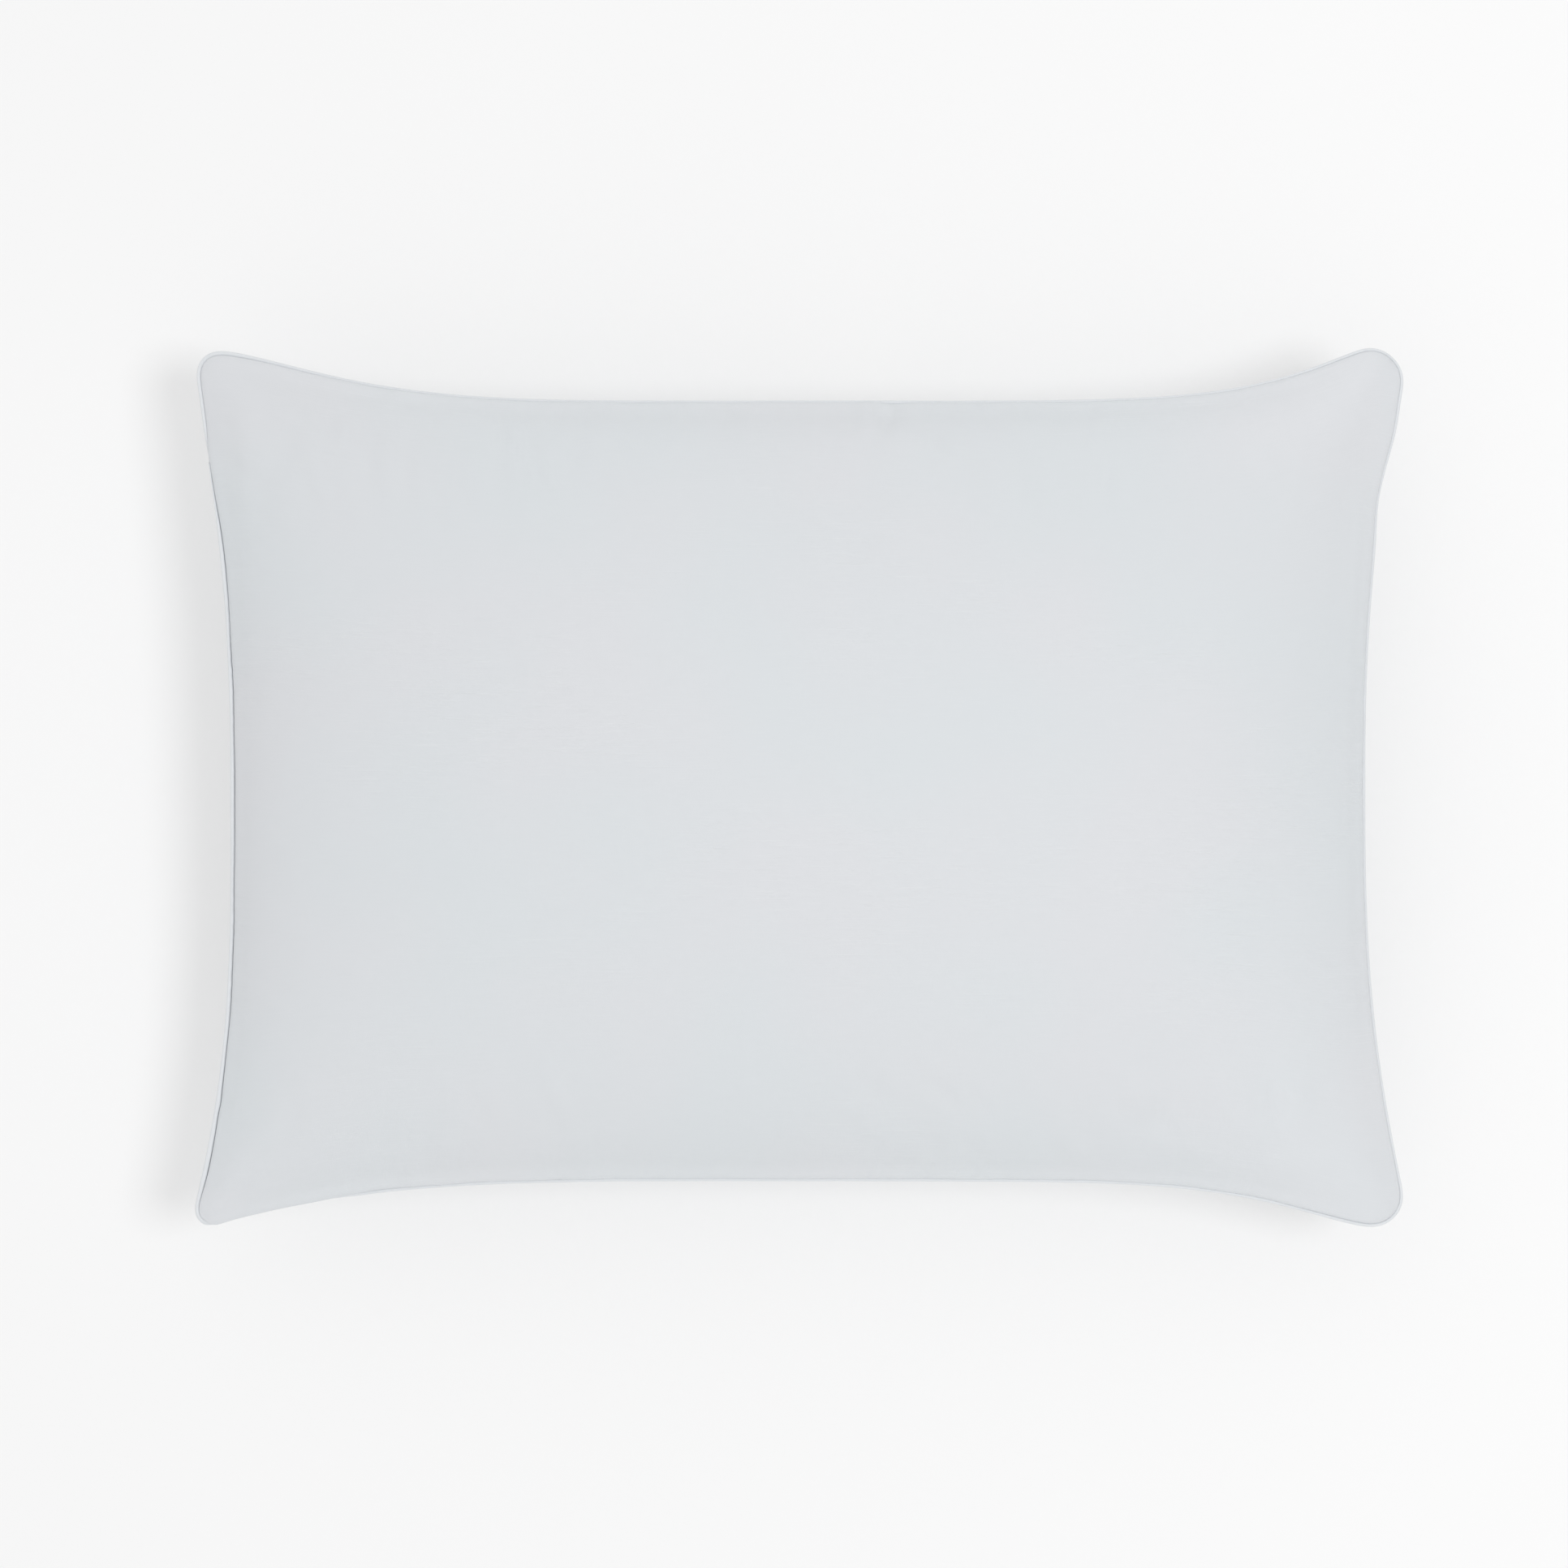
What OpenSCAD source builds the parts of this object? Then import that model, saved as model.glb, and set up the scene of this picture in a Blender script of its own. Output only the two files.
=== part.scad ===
// Plump bed pillow: two ticking panels sewn face to face with a corded piping in the seam.
// The origin is on the surface that the pillow lies on, under its middle. +X runs along the
// long sides, +Y across them and +Z up through the crown.

/* [Pillow] */
// Overall length between the piping of the two short sides, at the corners
pillow_length = 695; // [550:5:900]
// Overall width between the piping of the two long sides, at the corners
pillow_width = 506; // [400:2:650]
// Height of the crown above the surface that the pillow lies on
pillow_height = 170; // [120:2:220]
// Height of the seam above that surface
seam_height = 80; // [55:1:105]

/* [Outline] */
// How far the middle of each long side pulls in
long_side_waist = 29; // [5:1:45]
// How far the middle of each short side pulls in
short_side_waist = 21.5; // [5:0.5:35]
// Radius of the seam line at the corners
corner_radius = 14; // [12:1:30]

/* [Fullness] */
// Roundness of the upper panel, from a cone at 1 to a flat top at 4
crown_power = 2.3; // [1.6:0.1:3]
// Steepness of the panels beside the seam, where a smaller value is steeper
edge_power = 0.52; // [0.45:0.01:0.7]
// The same at the corners, where the pillow thins out
corner_power = 1.05; // [0.8:0.05:1.3]
// Share of the length and width that lies flat on the surface below
rest_share = 0.5; // [0.3:0.05:0.65]

/* [Cloth] */
// Thickness of the ticking
ticking_thickness = 0.5; // [0.3:0.05:0.8]
// Width of the seam allowance inside the pillow
seam_allowance = 10; // [6:0.5:12]
// Room between two layers of cloth that lie on each other
ply_gap = 0.3; // [0.25:0.05:0.5]
// Room between the fill and the ticking
fill_gap = 1.5; // [1.2:0.1:3]

/* [Piping] */
// Diameter of the cord in the piping
cord_diameter = 1.7; // [1.4:0.1:3]
// Thickness of the strip folded round the cord
strip_thickness = 0.35; // [0.2:0.05:0.5]
// Room between the piping's bead and the edge of the panels
bead_gap = 0.26; // [0.25:0.01:0.5]

/* [Stitching] */
// Thickness of the sewing thread
thread_thickness = 0.35; // [0.25:0.05:0.5]
// Distance from the edge of the panels in to the row of stitches round the pillow
stitch_inset = 2; // [1.5:0.1:3]
// Width of the overlock stitches over the raw edges
overlock_width = 3; // [2:0.5:4]
// Length of the opening that is stitched shut on the left short side
closing_length = 368; // [150:1:380]
// Distance of its middle from the middle of that side, towards the back
closing_offset = 4; // [-20:1:20]

/* [Label] */
// Width of the blank care label
label_width = 34; // [20:1:60]
// Length of the label below the seam
label_length = 46; // [20:1:50]
// Thickness of the label
label_thickness = 0.2; // [0.1:0.05:0.2]
// Place of the label along the back long side
label_x = 40; // [-60:1:60]
// How deep the top of the label is caught in the seam
label_tab = 8; // [4:0.5:9]

/* [Hidden] */

// How many straight pieces stand in for the curves
long_steps = 24;
short_steps = 18;
corner_steps = 4;
inner_rings = 7;
outer_rings = 3;
flank_rings = 5;
bead_sides = 9;
cord_sides = 8;

// The slit between the two layers of the folded piping strip
strip_slit = 0.1;
// Small gaps that keep a thread or the cord off the cloth that it lies on
cord_ease = 0.03;
thread_ease = 0.03;

// The long sides keep straighter in the middle than the short ones before they run out to the corners
long_bow = [5, 1.5];
short_bow = [2.5, 1.2];

bead_radius = cord_diameter / 2 + strip_thickness + strip_slit / 2;
cord_radius = cord_diameter / 2;
bore_radius = cord_radius + strip_slit / 2;
bead_room = 2 * bead_radius + bead_gap;
half_length = pillow_length / 2 - bead_room;
half_width = pillow_width / 2 - bead_room;
crown = pillow_height - seam_height;

// Heights above and below the seam's middle plane, where the layers lie on each other. The ticking
// is folded back over its seam allowance, so at the seam it is two layers thick.
strip_face = strip_slit / 2 + strip_thickness;
panel_face = strip_face + ply_gap;
panel_back = panel_face + ticking_thickness;
panel_fold = panel_back + ticking_thickness;

// The fill ends inside the overlocked edge of the seam allowance
overlock_edge = seam_allowance + 2 * thread_thickness;
rim = 1 - (overlock_edge + 1) / half_width;
rim_angle = asin(rim);

// Shares of the way from the middle to the seam where the upper panel has a ring of points
crown_rings = concat([for (k = [1 : inner_rings]) sin(rim_angle * k / inner_rings)],
                     [for (k = [1 : outer_rings]) sin(rim_angle + (90 - rim_angle) * k / outer_rings)]);

// The lower panel starts from the edge of its flat resting patch. Its rings are shares of the rest
// of the way to the seam, and one of them is at the rim of the fill.
flank_rim_angle = asin((rim - rest_share) / (1 - rest_share));
flank = concat([for (k = [0 : flank_rings]) sin(flank_rim_angle * k / flank_rings)],
               [for (k = [1 : outer_rings])
                   sin(flank_rim_angle + (90 - flank_rim_angle) * k / outer_rings)]);
flank_power = 2.2;

// How much of its waist a side has at a share u of the way from its middle to its corner
function bow(u, powers) = pow(1 - pow(min(1, abs(u)), powers[0]), powers[1]);

// The distance of a side from the pillow's axis at the place s along it, moved in by inset
function long_side(s, inset) =
    half_width - inset - long_side_waist * bow(s / (half_length - corner_radius), long_bow);
function short_side(s, inset) =
    half_length - inset - short_side_waist * bow(s / (half_width - corner_radius), short_bow);

function corner(x, y, r, start) =
    [for (k = [0 : corner_steps]) [x, y] + r * [cos(start + 90 * k / corner_steps),
                                                sin(start + 90 * k / corner_steps)]];

// The seam line seen from above, moved in by inset and anticlockwise from the right side's front end
function seam_line(inset) =
    let (r = max(corner_radius - inset, 1),
         x = half_length - inset - r,
         y = half_width - inset - r,
         along = [for (k = [1 : long_steps - 1]) 2 * k / long_steps - 1],
         across = [for (k = [1 : short_steps - 1]) 2 * k / short_steps - 1])
    concat(
        [for (v = across) [short_side(v * y, inset), v * y]],
        corner(x, y, r, 0),
        [for (u = along) [-u * x, long_side(u * x, inset)]],
        corner(-x, y, r, 90),
        [for (v = across) [-short_side(v * y, inset), -v * y]],
        corner(-x, -y, r, 180),
        [for (u = along) [u * x, -long_side(u * x, inset)]],
        corner(x, -y, r, 270));

// For each point of the seam line, 0 at the middle of a side and nearly 1 at a corner
cornerness = [for (p = seam_line(0)) pow(abs(p.x) / half_length, 4) * pow(abs(p.y) / half_width, 4)];

// For each point of the seam line, how much nearer to the middle the ellipse in the sides is. Rings
// near the crown follow the ellipse and rings near the seam follow the seam line.
roundness = [for (p = seam_line(0)) min(1, 1 / norm([p.x / half_length, p.y / half_width]))];
function plan_share(share, roundness) = share * (share * share + (1 - share * share) * roundness);

// Height as a share of the rise from the seam to the flat middle, at a share t of the way out to
// the seam. Towards the corners it falls away more evenly.
function slope(t, power, cornerness) =
    pow(1 - pow(t, power), edge_power + (corner_power - edge_power) * cornerness * t * t);

// One ring of points: the seam line moved in by inset and drawn together to a share of its size,
// at the base height plus the rise times the slope at t
function ring(inset, share, base, rise, t, power) =
    let (line = seam_line(inset))
    [for (i = [0 : len(line) - 1])
        let (s = plan_share(share, roundness[i]),
             lift = rise == 0 ? 0 : rise * slope(t, power, cornerness[i]))
        [line[i].x * s, line[i].y * s, base + lift]];
function flat_ring(inset, z) = ring(inset, 1, z, 0, 1, 1);

// The upper surface, moved in by inset, from its first ring beside the middle out to the seam
function crown_surface(inset, base, top, count) =
    [for (k = [0 : count - 1]) ring(inset, crown_rings[k], base, top - base, crown_rings[k], crown_power)];

// The lower surface from the edge of the resting patch out to the seam. The inset fades out
// towards the patch.
function flank_surface(inset, base, bottom, count) =
    [for (k = [0 : count - 1])
        ring(inset * flank[k], rest_share + (1 - rest_share) * flank[k],
             base, bottom - base, flank[k], flank_power)];

// The fold at the seam and the seam allowance, from the outer face of the fold round to its inside
function hem(face, back) =
    [flat_ring(0, face), flat_ring(seam_allowance, face), flat_ring(seam_allowance, back)];

function flatten(lists) = [for (l = lists) each l];
function reversed(list) = [for (k = [len(list) - 1 : -1 : 0]) list[k]];

// Faces between each ring and the next one
function bands(n, rings) =
    [for (k = [0 : rings - 2], i = [0 : n - 1])
        let (j = (i + 1) % n, a = k * n, b = a + n)
        each [[a + i, b + i, a + j], [a + j, b + i, b + j]]];

// Faces from the last ring back to the first, which closes a loop of rings
function closing_band(n, rings) =
    [for (i = [0 : n - 1])
        let (j = (i + 1) % n, a = (rings - 1) * n)
        each [[a + i, i, a + j], [a + j, i, j]]];

// A solid whose rings lead round in a loop, like a hem, a tube or a rim
module loop_of(rings) {
    n = len(rings[0]);
    polyhedron(flatten(rings), concat(bands(n, len(rings)), closing_band(n, len(rings))));
}

// A solid whose rings start and end at a point on the pillow's axis
module domed(rings, first_z, last_z) {
    n = len(rings[0]);
    last = n * len(rings);
    polyhedron(
        concat(flatten(rings), [[0, 0, first_z], [0, 0, last_z]]),
        concat(bands(n, len(rings)),
               [for (i = [0 : n - 1]) [last, i, (i + 1) % n]],
               [for (i = [0 : n - 1]) [last + 1, last - n + (i + 1) % n, last - n + i]]));
}

// A cross-section, as [inset, height] points, carried round the whole seam line
module round_the_seam(section) {
    translate([0, 0, seam_height])
        loop_of([for (p = section) flat_ring(p[0], p[1])]);
}

// The same along part of the left side only, with an end face at each end
module along_left_side(section, from_y, to_y) {
    rings = [for (k = [0 : short_steps])
                let (y = from_y + (to_y - from_y) * k / short_steps)
                [for (p = section) [-short_side(y, p[0]), y, p[1]]]];
    n = len(section);
    last = n * short_steps;
    translate([0, 0, seam_height])
        polyhedron(flatten(rings),
                   concat(bands(n, len(rings)),
                          [[for (i = [0 : n - 1]) i]],
                          [[for (i = [n - 1 : -1 : 0]) last + i]]));
}

// Upper ticking with its seam allowance turned in flat at the seam
module top_panel() {
    count = len(crown_rings);
    outside = crown_surface(0, panel_fold, crown, count);
    inside = crown_surface(ticking_thickness, panel_back, crown - ticking_thickness, count);
    color([0.90, 0.92, 0.94])
        translate([0, 0, seam_height])
            domed(concat(outside, hem(panel_face, panel_back), reversed(inside)),
                  crown, crown - ticking_thickness);
}

// Lower ticking: a flank round a flat patch, which is what the pillow rests on
module bottom_panel() {
    count = len(flank);
    outside = flank_surface(0, -panel_fold, -seam_height, count);
    inside = flank_surface(ticking_thickness, -panel_back, ticking_thickness - seam_height, count);
    color([0.88, 0.90, 0.92])
        translate([0, 0, seam_height])
            domed(concat(inside, reversed(hem(-panel_face, -panel_back)), reversed(outside)),
                  ticking_thickness - seam_height, -seam_height);
}

// Loose filling, one soft mass that stops short of the seam allowance
module fill() {
    inset = ticking_thickness + fill_gap;
    base = panel_back - fill_gap;
    above = crown_surface(inset, base, crown - inset, inner_rings);
    below = flank_surface(inset, -base, inset - seam_height, flank_rings + 1);
    color([0.97, 0.97, 0.96])
        translate([0, 0, seam_height])
            domed(concat(above, reversed(below)), crown - inset, inset - seam_height);
}

// Strip of ticking folded round the cord, its two edges caught in the seam
module piping_cover() {
    meets_strip = asin(strip_face / bead_radius);
    meets_slit = asin(strip_slit / 2 / bore_radius);
    outside = [for (k = [0 : bead_sides])
                  let (a = meets_strip + (360 - 2 * meets_strip) * k / bead_sides)
                  bead_point(bead_radius, a)];
    inside = [for (k = [bead_sides : -1 : 0])
                 let (a = meets_slit + (360 - 2 * meets_slit) * k / bead_sides)
                 bead_point(bore_radius, a)];
    color([0.93, 0.95, 0.97])
        round_the_seam(concat([[seam_allowance, strip_face]], outside,
                              [[seam_allowance, -strip_face], [seam_allowance, -strip_slit / 2]],
                              inside,
                              [[seam_allowance, strip_slit / 2]]));
}

// Cord that fills the piping's bead
module piping_cord() {
    color([0.95, 0.94, 0.90])
        round_the_seam([for (k = [0 : cord_sides - 1])
                           bead_point(cord_radius - cord_ease, 360 * k / cord_sides)]);
}

// A point at radius r of the bead, at an angle measured from the side of the seam
function bead_point(r, angle) = [-bead_gap - bead_radius + r * cos(angle), r * sin(angle)];

function square_section(inset, z, size) =
    [[inset - size / 2, z - size / 2], [inset - size / 2, z + size / 2],
     [inset + size / 2, z + size / 2], [inset + size / 2, z - size / 2]];

// Needle and bobbin threads of the seam round the pillow, one on each face of the layers
module seam_thread() {
    lie = panel_back + thread_ease + thread_thickness / 2;
    color([0.96, 0.96, 0.97]) {
        round_the_seam(square_section(stitch_inset, lie, thread_thickness));
        round_the_seam(square_section(stitch_inset, -lie, thread_thickness));
    }
}

// Overlock stitches that wrap the raw edges of all the layers
module overlock_thread() {
    near = panel_back + thread_ease;
    far = near + thread_thickness;
    start = seam_allowance - overlock_width;
    edge = seam_allowance + thread_ease;
    color([0.95, 0.95, 0.95])
        round_the_seam([[start, near], [start, far], [overlock_edge, far],
                        [overlock_edge, -far], [start, -far], [start, -near], [edge, -near],
                        [edge, near]]);
}

// Row of stitches in the groove beside the piping, where the pillow was filled and sewn shut
module closing_stitch() {
    groove = -(bead_gap + thread_thickness) / 2;
    color([0.80, 0.82, 0.84])
        along_left_side(square_section(groove, bead_radius, thread_thickness),
                        closing_offset - closing_length / 2, closing_offset + closing_length / 2);
}

// Blank label that hangs below the seam of the back long side, its top caught between the layers
module care_label() {
    seam_y = max(long_side(label_x - label_width / 2, 0), long_side(label_x + label_width / 2, 0));
    between = (strip_face + panel_face) / 2;
    top = seam_height - between + label_thickness / 2;
    hang = bead_gap / 2 + label_thickness / 2;
    color([0.97, 0.97, 0.97])
        translate([label_x - label_width / 2, 0, 0])
            rotate([90, 0, 90])
                linear_extrude(label_width)
                    polygon([[seam_y - label_tab, top],
                             [seam_y + hang, top],
                             [seam_y + hang, top - label_length],
                             [seam_y + hang - label_thickness, top - label_length],
                             [seam_y + hang - label_thickness, top - label_thickness],
                             [seam_y - label_tab, top - label_thickness]]);
}

top_panel();
bottom_panel();
fill();
piping_cover();
piping_cord();
seam_thread();
overlock_thread();
closing_stitch();
care_label();
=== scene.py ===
"""A plump corded bed pillow lying on a pale table, seen from straight above.

Both faces are sewn from one flat cut, blown up as cloth and rested on the table.
The piping, its cord, the seams and the label then follow the sewn edge.
"""
import math

import bpy
import numpy as np
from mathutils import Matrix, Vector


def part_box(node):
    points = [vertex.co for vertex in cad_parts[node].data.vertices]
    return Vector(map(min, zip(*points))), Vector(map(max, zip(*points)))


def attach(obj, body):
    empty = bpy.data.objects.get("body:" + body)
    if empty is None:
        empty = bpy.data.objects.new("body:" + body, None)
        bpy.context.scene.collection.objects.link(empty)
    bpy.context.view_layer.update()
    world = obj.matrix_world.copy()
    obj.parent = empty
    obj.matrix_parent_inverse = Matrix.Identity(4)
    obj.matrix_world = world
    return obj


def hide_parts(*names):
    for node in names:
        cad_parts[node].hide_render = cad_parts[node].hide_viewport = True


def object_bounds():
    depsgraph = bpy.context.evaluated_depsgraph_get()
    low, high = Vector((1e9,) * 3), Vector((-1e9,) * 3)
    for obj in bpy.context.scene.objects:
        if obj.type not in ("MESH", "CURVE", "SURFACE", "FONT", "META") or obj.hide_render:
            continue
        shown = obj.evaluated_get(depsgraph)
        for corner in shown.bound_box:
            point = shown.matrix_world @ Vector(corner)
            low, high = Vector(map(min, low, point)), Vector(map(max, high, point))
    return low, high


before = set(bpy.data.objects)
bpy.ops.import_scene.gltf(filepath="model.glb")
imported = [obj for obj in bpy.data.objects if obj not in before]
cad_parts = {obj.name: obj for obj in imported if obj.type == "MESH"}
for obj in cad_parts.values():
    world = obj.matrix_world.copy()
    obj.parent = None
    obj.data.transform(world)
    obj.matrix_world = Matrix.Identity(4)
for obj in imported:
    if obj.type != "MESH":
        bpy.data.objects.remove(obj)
cad_low, cad_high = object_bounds()

# ---------------------------------------------------------------- sizes, in metres

HEIGHT = cad_high.z
SEAM_HEIGHT = 0.47 * HEIGHT
SEAM_ALLOWANCE = 0.010
CUT_LENGTH = 0.711 + 2 * SEAM_ALLOWANCE
CUT_WIDTH = 0.508 + 2 * SEAM_ALLOWANCE
BEAD_RADIUS = 0.0011
SLIT_WIDTH = 0.00045
STRIP_POINTS = 17
CORD_RADIUS = 0.00072
THREAD_RADIUS = 0.00015
FILL_GAP = 0.003  # between the ticking and the stuffing
LABEL_THICKNESS = 0.0003

# The layers of the seam: how far in the rows of a panel's allowance lie, how far
# they are off the middle of the seam, and the same for the piping's own.
TURNED_IN = (0.0012, 0.004, SEAM_ALLOWANCE)
PANEL_OFF = 0.0003
TAIL_OFF = 0.00015
# The seam's threads run behind the piping, at the height of the panels' layers.
THREAD_IN = 0.0014
THREAD_OFF = 0.0003

# Where the straight lines through the corners would meet, outside the piping.
CORNERS = {
    "back_left": np.array([-0.3479, 0.2526]),
    "front_left": np.array([-0.3490, -0.2524]),
    "front_right": np.array([0.3478, -0.2525]),
    "back_right": np.array([0.3476, 0.2542]),
}
CORNER_RADIUS = {"back_left": 0.013, "front_left": 0.010, "front_right": 0.018, "back_right": 0.020}

# Each side from its first corner to its second, anticlockwise: how far the full
# fill pulls its middle in, and how that pull dies away towards either corner.
SIDES = {
    "back": ("back_right", "back_left", 0.0300, (6.5, 1.36), (4.7, 1.62)),
    "left": ("back_left", "front_left", 0.0211, (2.4, 1.24), (3.3, 1.12)),
    "front": ("front_left", "front_right", 0.0266, (4.2, 1.02), (5.8, 1.65)),
    "right": ("front_right", "back_right", 0.0222, (2.8, 1.16), (2.5, 1.02)),
}

# Places along the edge.
JOIN_Y = 0.188  # on the left side, where the ends of the piping meet
CLOSING = (0.176, -0.184)  # on the left side, where the filled pillow is sewn shut
ROLL = math.radians(110)  # how far the piping turns under where it is hidden
DRAWN_IN = 0.0012  # and how far it is drawn in there
ROLLED = (-0.3405, -0.262)  # on the front side, where the panel hides the piping
ROLLED_ROOM = 0.0024  # and how far the lower panel draws in behind it
# Small kinks of the piping: where they are along a side, and how long.
SMALL_KINKS = {"left": (-0.180, 0.004), "front": (-0.109, 0.004), "right": (0.052, 0.005)}
END_STEPS = 22  # over so many steps the last end of the piping narrows

# Grid of the cloth, and how much finer the finished panels are.
COLUMNS, ROWS = 96, 68
FINER = 3
EDGE_PARTS = (0, 0.04, 0.08, 0.13, 0.20, 0.30, 0.43, 0.58, 0.78)
FOLD_HEIGHT = 0.0009  # the turned edge of a panel stands this far up beside the piping
# How far the plump panels lean out over the piping, away from the corners.
LIPS = {"left": 0.0003, "right": 0.0007, "front": 0.0006, "back": 0.0009}
SEAM_STEPS = 2400
CORNER_SOFTENING = 50  # passes of smoothing over the corner rounds
WAVES = 14  # in each uneven line
ANY_PHASE = 6.28
PRESSURE = 5.0
FRAMES = 36

# How bright the room is: everywhere, and added towards each part of it.
ROOM_ALL_ROUND = 0.47
ROOM_OVERHEAD = 0.30
ROOM_FRONT_AND_BACK = 0.58
ROOM_LEFT = 0.20
ROOM_RIGHT = -0.22  # the dark end of the room
DARKEST = 0.02
# A round window in the ceiling, to the right.
WINDOW_POWER = 50
WINDOW_TILT = math.radians(24)
WINDOW_AWAY = 4.0
WINDOW_ACROSS = 1.5

TABLE_HALF = 3.0
TABLE_BELOW = 0.0004  # the table top is this far below the frame's origin
LENS = 85  # in millimetres, on a sensor SENSOR_WIDTH wide
SENSOR_WIDTH = 36
PICTURE_WIDTH = 0.902  # at the height of the seam
PICTURE_MIDDLE = (-0.0091, 0.0028)


# ---------------------------------------------------------------- the sewn edge


def pull(share, power, sharpness):
    """1 in the middle of a side, 0 at its end."""
    return (1 - np.minimum(1, np.abs(share)) ** power) ** sharpness


def side_line(name, steps=600):
    """Points along one side between its corner rounds, and its direction."""
    first, last, waist, fall_first, fall_last = SIDES[name]
    start, end = CORNERS[first], CORNERS[last]
    length = np.linalg.norm(end - start)
    along = (end - start) / length
    inward = np.array([-along[1], along[0]])
    run = np.linspace(CORNER_RADIUS[first], length - CORNER_RADIUS[last], steps)
    middle = length / 2
    to_first = (middle - run) / (middle - CORNER_RADIUS[first])
    to_last = (run - middle) / (middle - CORNER_RADIUS[last])
    depth = waist * np.where(run < middle, pull(to_first, *fall_first), pull(to_last, *fall_last))
    return start + np.outer(run, along) + np.outer(depth, inward), along


def corner_round(name, before, after, steps=48):
    """The round at a corner, from the side before it to the side after it."""
    radius = CORNER_RADIUS[name]
    centre = CORNERS[name] - radius * before + radius * after
    turn = np.linspace(0, math.pi / 2, steps + 1)[1:-1, None]
    return centre + radius * (np.sin(turn) * before - np.cos(turn) * after)


def evenly(points, steps, closed=False):
    """The same line at equal steps of its own length."""
    if closed:
        points = np.vstack([points, points[:1]])
    gone = np.concatenate([[0], np.cumsum(np.linalg.norm(np.diff(points, axis=0), axis=1))])
    at = np.linspace(0, gone[-1], steps + 1)
    line = np.stack([np.interp(at, gone, points[:, k]) for k in range(points.shape[1])], 1)
    return line[:-1] if closed else line


def smooth_ring(values, times=6):
    """Softens a closed run of values."""
    for _ in range(times):
        values = 0.25 * np.roll(values, 1, 0) + 0.5 * values + 0.25 * np.roll(values, -1, 0)
    return values


def rounded(ring, times):
    """A closed line without its sharp turns, its corners kept where they were."""
    soft = smooth_ring(ring, times)
    return soft + smooth_ring(ring - soft, times)


def outer_edge():
    """The outside of the piping as one closed line, from the middle of the back right corner."""
    lines = {name: side_line(name) for name in SIDES}
    names = list(SIDES)
    parts = []
    for number, name in enumerate(names):
        parts.append(lines[name][0])
        following = names[(number + 1) % 4]
        parts.append(corner_round(SIDES[name][1], lines[name][1], lines[following][1]))
    ring = np.vstack(parts)
    middle = len(parts[-1]) // 2 + 1
    return evenly(np.roll(ring, middle, axis=0), SEAM_STEPS, closed=True)


def ring_normals(ring):
    """Outward in plan, at each point of an anticlockwise line."""
    ahead = smooth_ring(np.roll(ring, -1, 0) - np.roll(ring, 1, 0), 3)
    ahead /= np.linalg.norm(ahead, axis=1)[:, None]
    return np.stack([ahead[:, 1], -ahead[:, 0]], 1)


def bump_at(values, place, spread):
    return np.exp(-(((values - place) / spread) ** 2))


def side_of(ring):
    """True masks for the four sides."""
    x, y = ring.T
    across = (np.abs(x) / cad_high.x) ** 8 > (np.abs(y) / cad_high.y) ** 8
    ends = {"left": across & (x < 0), "right": across & (x > 0)}
    return {**ends, "front": ~across & (y < 0), "back": ~across & (y > 0)}


def soft_step(value, low, high):
    share = np.clip((value - low) / (high - low), 0, 1)
    return share * share * (3 - 2 * share)


def wander(count, scale, seed):
    """A smooth closed run of values of about +-1."""
    chance = np.random.default_rng(seed)
    angle = np.linspace(0, 2 * math.pi, count, endpoint=False)
    total = np.zeros(count)
    for _ in range(WAVES):
        turns = round(chance.uniform(0.3, 1) * scale)
        total += math.sqrt(2 / WAVES) * np.cos(turns * angle + chance.uniform(0, ANY_PHASE))
    return total


def ears(ring):
    """The plump right corner at the back stands out, and the side draws in below it."""
    x, y = ring.T
    right = x > 0.9 * cad_high.x
    return right * (0.0014 * bump_at(y, 0.208, 0.018) - 0.0019 * bump_at(y, 0.165, 0.020))


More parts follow.
